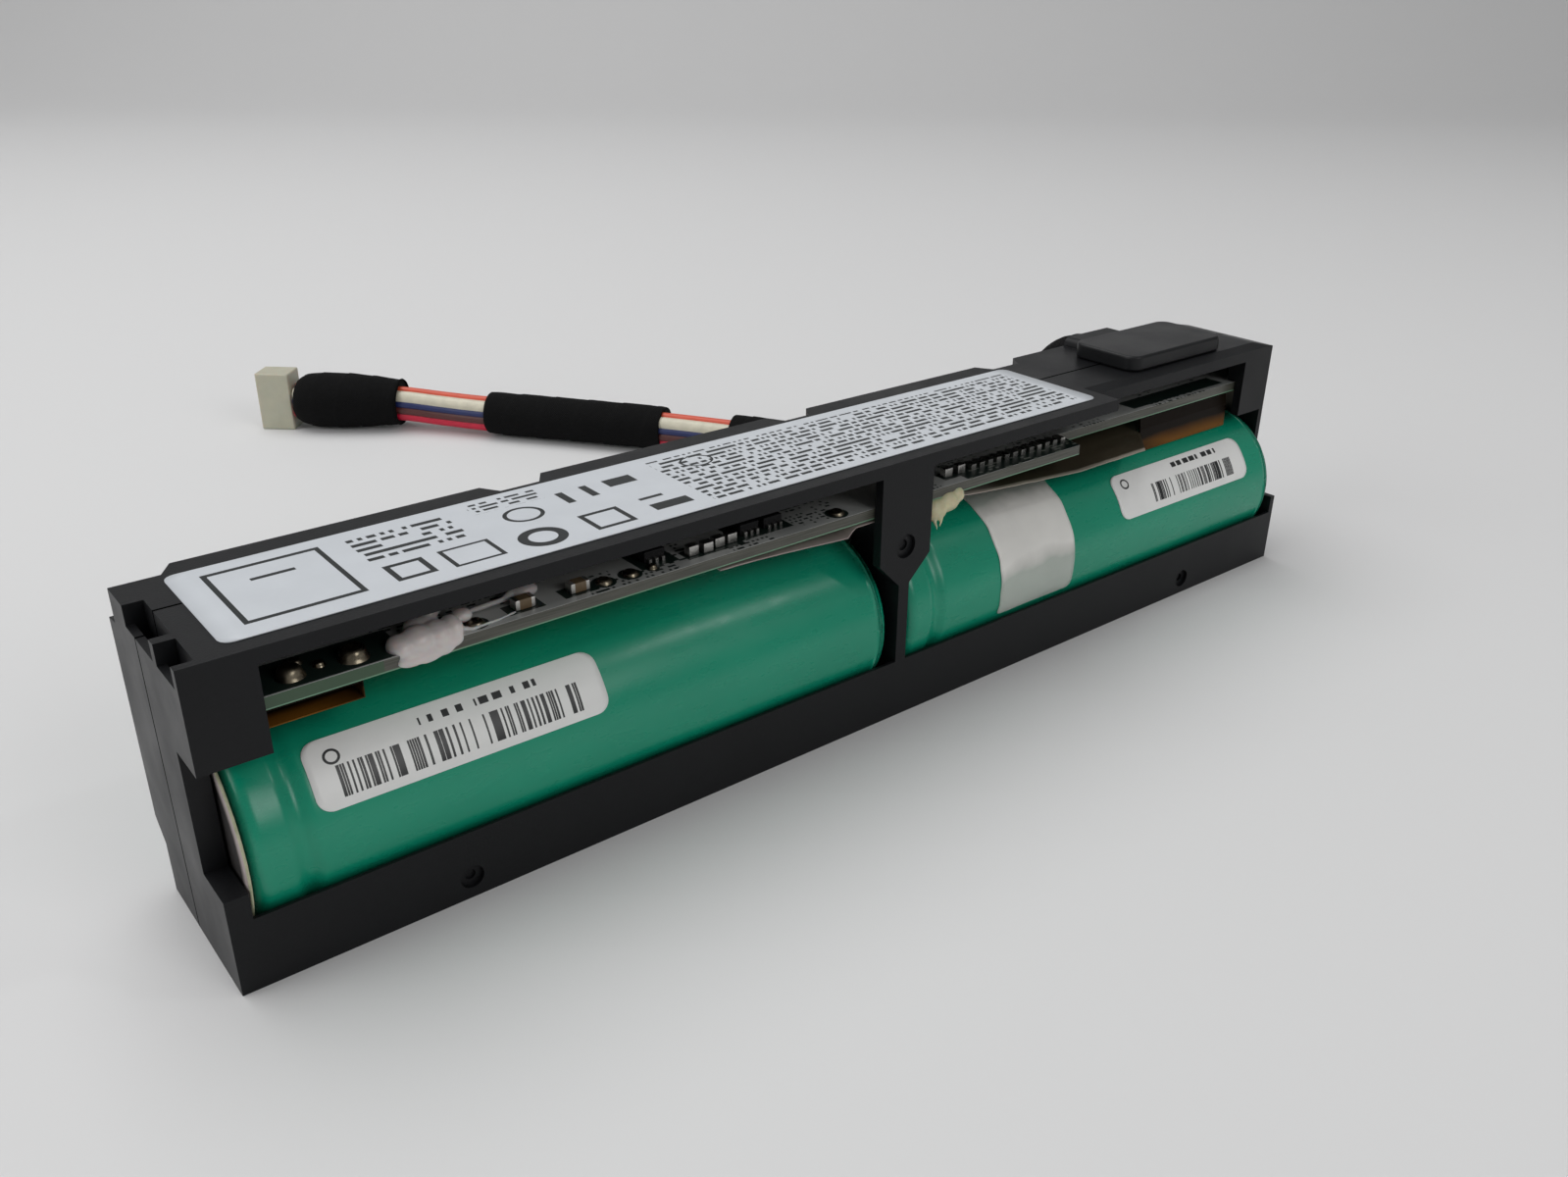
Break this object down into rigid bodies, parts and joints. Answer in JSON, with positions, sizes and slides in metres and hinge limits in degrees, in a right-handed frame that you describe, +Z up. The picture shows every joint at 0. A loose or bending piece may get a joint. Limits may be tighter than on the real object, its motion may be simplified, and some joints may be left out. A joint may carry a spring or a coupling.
{
  "type": "raid battery module",
  "caption": "Backup battery module for a storage controller card: round cells in a moulded black frame with a protection board above them and a taped wire harness that ends in a plug.",
  "frame": {"origin": "on the resting face, under the middle of the frame, without the wire harness and its plug", "axes": "+X along the frame from the end with the slotted wall to the end with the pad, +Y from the windowed front face to the face where the harness leaves, +Z up"},
  "size_m": [0.138, 0.1387, 0.0309],
  "materials": {
    "frame_plastic": "fine matte moulded grain",
    "can_steel": "nickel-plated steel",
    "sleeve_green": "glossy shrink film",
    "gasket_black": "moulded seal",
    "disc_paper": "pressed insulating paper with a fibrous edge",
    "nickel_strip": "rolled nickel",
    "board_laminate": "glass-fibre laminate with pale solder mask",
    "pale_sheet": "thin flexible sheet",
    "solder": "tinned metal",
    "chip_black": "moulded epoxy",
    "ceramic_tan": "fired ceramic",
    "ceramic_white": "fired ceramic",
    "silicone_white": "soft glossy sealant",
    "glue_cream": "cured glue",
    "amber_film": "translucent amber film tape",
    "white_film": "thin milky film tape",
    "label_white": "coated label stock",
    "pad_black": "dense foam pad",
    "wire_red": "wire insulation",
    "cloth_black": "woven cloth tape",
    "plug_cream": "moulded nylon",
    "contact_gold": "plated contacts"
  },
  "bodies": {
    "root": {"front_frame": "frame_plastic", "rear_frame": "frame_plastic", "left_can": "can_steel", "right_can": "can_steel", "left_sleeve": "sleeve_green", "right_sleeve": "sleeve_green", "cell_gaskets": "gasket_black", "cell_caps": "can_steel", "left_insulator": "disc_paper", "left_tab": "nickel_strip", "link_strip": "nickel_strip", "right_tab": "nickel_strip", "circuit_board": "board_laminate", "board_sheet": "pale_sheet", "solder_joints": "solder", "solder_pads": "solder", "controller_chip": "chip_black", "power_chips": "chip_black", "chip_legs": "solder", "chip_capacitors": "ceramic_tan", "chip_resistors": "solder", "pin_row": "solder", "sense_fuse": "ceramic_white", "wire_lugs": "solder", "silicone_bead": "silicone_white", "glue_bead": "glue_cream", "left_amber_tape": "amber_film", "right_amber_tape": "amber_film", "white_tape": "white_film", "thermistor": "chip_black", "top_label": "label_white", "left_cell_label": "label_white", "right_cell_label": "label_white", "bumper_pad": "pad_black", "harness": "wire_red", "root_wrap": "cloth_black", "middle_wrap": "cloth_black", "end_wrap": "cloth_black", "plug_housing": "plug_cream", "plug_contacts": "contact_gold"}
  },
  "joints": []
}
